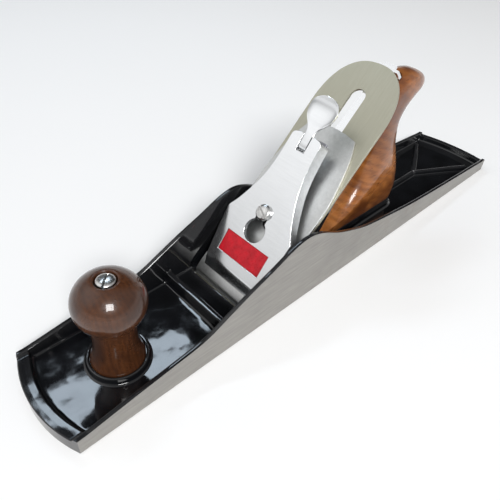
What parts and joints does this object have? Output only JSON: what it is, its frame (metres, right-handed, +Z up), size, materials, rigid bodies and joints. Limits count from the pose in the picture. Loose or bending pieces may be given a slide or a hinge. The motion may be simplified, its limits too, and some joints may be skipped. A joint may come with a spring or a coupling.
{
  "type": "hand plane",
  "caption": "Metal bench plane with a long japanned body, wooden knob and tote, adjustable frog, cutter iron with cap iron, lever cap with cam lever, depth wheel and lateral lever",
  "frame": {"origin": "on the flat sole's plane, under the middle of the body's outline", "axes": "+X towards the toe, +Y towards the left cheek, +Z up from the sole"},
  "size_m": [0.457, 0.073, 0.1368],
  "materials": {
    "japanned_iron": "ground grey outside, gloss black enamel inside",
    "frog_iron": "gloss black enamel with machined faces",
    "knob_wood": "gloss varnish, dark reddish brown",
    "tote_wood": "gloss varnish, figured orange brown",
    "bright_steel": "bright turned steel",
    "zinc_steel": "stamped sheet steel",
    "iron_steel": "ground satin tool steel",
    "cap_iron_steel": "satin steel",
    "nickel_plate": "polished plating",
    "spring_steel": "blued spring steel",
    "adjuster_brass": "turned brass",
    "badge_enamel": "gloss red enamel"
  },
  "bodies": {
    "plane_body": {"body_casting": "japanned_iron", "front_knob": "knob_wood", "knob_rod": "bright_steel", "knob_nut": "bright_steel", "rear_tote": "tote_wood", "tote_rod": "bright_steel", "tote_nut": "bright_steel", "tote_toe_screw": "bright_steel", "frog_screws": "bright_steel", "frog_washers": "zinc_steel"},
    "frog_unit": {"frog": "frog_iron", "frog_adjust_plate": "zinc_steel", "frog_plate_screw": "bright_steel", "yoke_pin": "bright_steel", "depth_stud": "bright_steel", "lateral_rivet": "bright_steel", "lever_cap_screw": "bright_steel"},
    "frog_adjuster": {"frog_adjust_screw": "bright_steel"},
    "yoke_lever": {"yoke": "zinc_steel"},
    "depth_wheel": {"depth_nut": "adjuster_brass"},
    "lateral_unit": {"lateral_lever": "nickel_plate", "lateral_disc": "bright_steel", "disc_rivet": "bright_steel"},
    "cutter_unit": {"cutter_iron": "iron_steel", "cap_iron": "cap_iron_steel", "cap_iron_screw": "bright_steel"},
    "cap_unit": {"lever_cap": "nickel_plate", "badge_panel": "badge_enamel", "cam_pin": "bright_steel", "cap_spring": "spring_steel", "spring_rivet": "bright_steel"},
    "cam_unit": {"cam_lever": "nickel_plate"}
  },
  "joints": [
    {"name": "frog_adjust_turn", "type": "hinge", "parent": "frog_unit", "child": "frog_adjuster", "pos_m": [0.0275, 0, 0.0095], "axis": [1, 0, 0], "range_deg": [-142, 284]},
    {"name": "frog_slide", "type": "slide", "parent": "plane_body", "child": "frog_unit", "axis": [1, 0, 0], "range_m": [-0.0005, 0.001]},
    {"name": "depth_turn", "type": "hinge", "parent": "frog_unit", "child": "depth_wheel", "pos_m": [0.015, 0, 0.036], "axis": [1, 0, 0], "range_deg": [-152, 662.5]},
    {"name": "yoke_swing", "type": "hinge", "parent": "frog_unit", "child": "yoke_lever", "pos_m": [0.01999, 0, 0.052], "axis": [0, 1, 0], "range_deg": [-6.6, 1.52]},
    {"name": "cutter_depth", "type": "slide", "parent": "frog_unit", "child": "cutter_unit", "axis": [-0.7071, 0, 0.7071], "range_m": [-0.00036, 0.00157]},
    {"name": "lateral_swing", "type": "hinge", "parent": "frog_unit", "child": "lateral_unit", "pos_m": [0.01353, 0, 0.07354], "axis": [0.7071, 0, 0.7071], "range_deg": [-1.5, 10]},
    {"name": "cap_release", "type": "slide", "parent": "frog_unit", "child": "cap_unit", "axis": [-0.7071, 0, 0.7071], "range_m": [0, 0.013]},
    {"name": "cam_open", "type": "hinge", "parent": "cap_unit", "child": "cam_unit", "pos_m": [0.02063, 0, 0.09609], "axis": [0, 1, 0], "range_deg": [0, 90]}
  ],
  "couplings": [
    {"joint": "frog_adjust_turn", "follows": "frog_slide", "rad_per_m": 4947.4},
    {"joint": "depth_turn", "follows": "cutter_depth", "rad_per_m": 7359.5},
    {"joint": "yoke_swing", "follows": "cutter_depth", "rad_per_m": -73.206}
  ]
}
